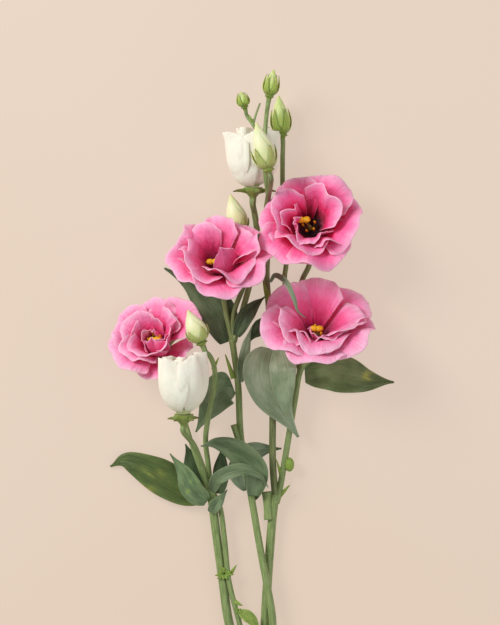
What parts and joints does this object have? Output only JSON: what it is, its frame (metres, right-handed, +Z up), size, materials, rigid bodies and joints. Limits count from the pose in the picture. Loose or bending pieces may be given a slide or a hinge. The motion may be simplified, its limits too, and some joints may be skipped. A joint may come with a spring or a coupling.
{
  "type": "lisianthus spray",
  "caption": "Cut branching spray of lisianthus lying flat, with open double pink blooms, half-open white blooms, closed buds, leaves and a long stem.",
  "frame": {"origin": "middle of the spray's box on the table that it lies on", "axes": "+X to the spray's right, +Y along the spray from the cut end to the buds, +Z up from the table"},
  "size_m": [0.1896, 0.476, 0.0629],
  "materials": {
    "pink_petal": "soft, velvety",
    "white_petal": "soft, velvety",
    "bud": "smooth, waxy",
    "calyx": "smooth, waxy",
    "leaf": "waxy, slightly bloomed",
    "stem": "smooth, waxy",
    "stigma": "matt, grainy"
  },
  "bodies": {
    "root": {"bloom_left_calyx": "calyx", "bloom_left_petals": "pink_petal", "bloom_left_pistil": "stigma", "bloom_middle_calyx": "calyx", "bloom_middle_petals": "pink_petal", "bloom_middle_pistil": "stigma", "bloom_right_calyx": "calyx", "bloom_right_petals": "pink_petal", "bloom_right_pistil": "stigma", "bloom_top_calyx": "calyx", "bloom_top_petals": "pink_petal", "bloom_top_pistil": "stigma", "bud_behind": "bud", "bud_behind_calyx": "calyx", "bud_far_right": "bud", "bud_far_right_calyx": "calyx", "bud_front": "bud", "bud_front_calyx": "calyx", "bud_left": "bud", "bud_left_calyx": "calyx", "bud_small": "bud", "bud_small_calyx": "calyx", "bud_summit": "bud", "bud_summit_calyx": "calyx", "bud_upper": "bud", "bud_upper_calyx": "calyx", "leaf_arching": "leaf", "leaf_at_crossing": "leaf", "leaf_behind_right": "leaf", "leaf_clasping": "leaf", "leaf_curled": "leaf", "leaf_dark_inner": "leaf", "leaf_dark_left": "leaf", "leaf_dark_middle": "leaf", "leaf_dark_small": "leaf", "leaf_drooping": "leaf", "leaf_far_left": "leaf", "leaf_hanging": "leaf", "leaf_long_left": "leaf", "leaf_narrow": "leaf", "leaf_pale_behind": "leaf", "leaf_right": "leaf", "leaf_small_arch": "leaf", "leaf_yellowed": "leaf", "stems": "stem", "white_left_calyx": "calyx", "white_left_petals": "white_petal", "white_top_calyx": "calyx", "white_top_petals": "white_petal"}
  },
  "joints": []
}
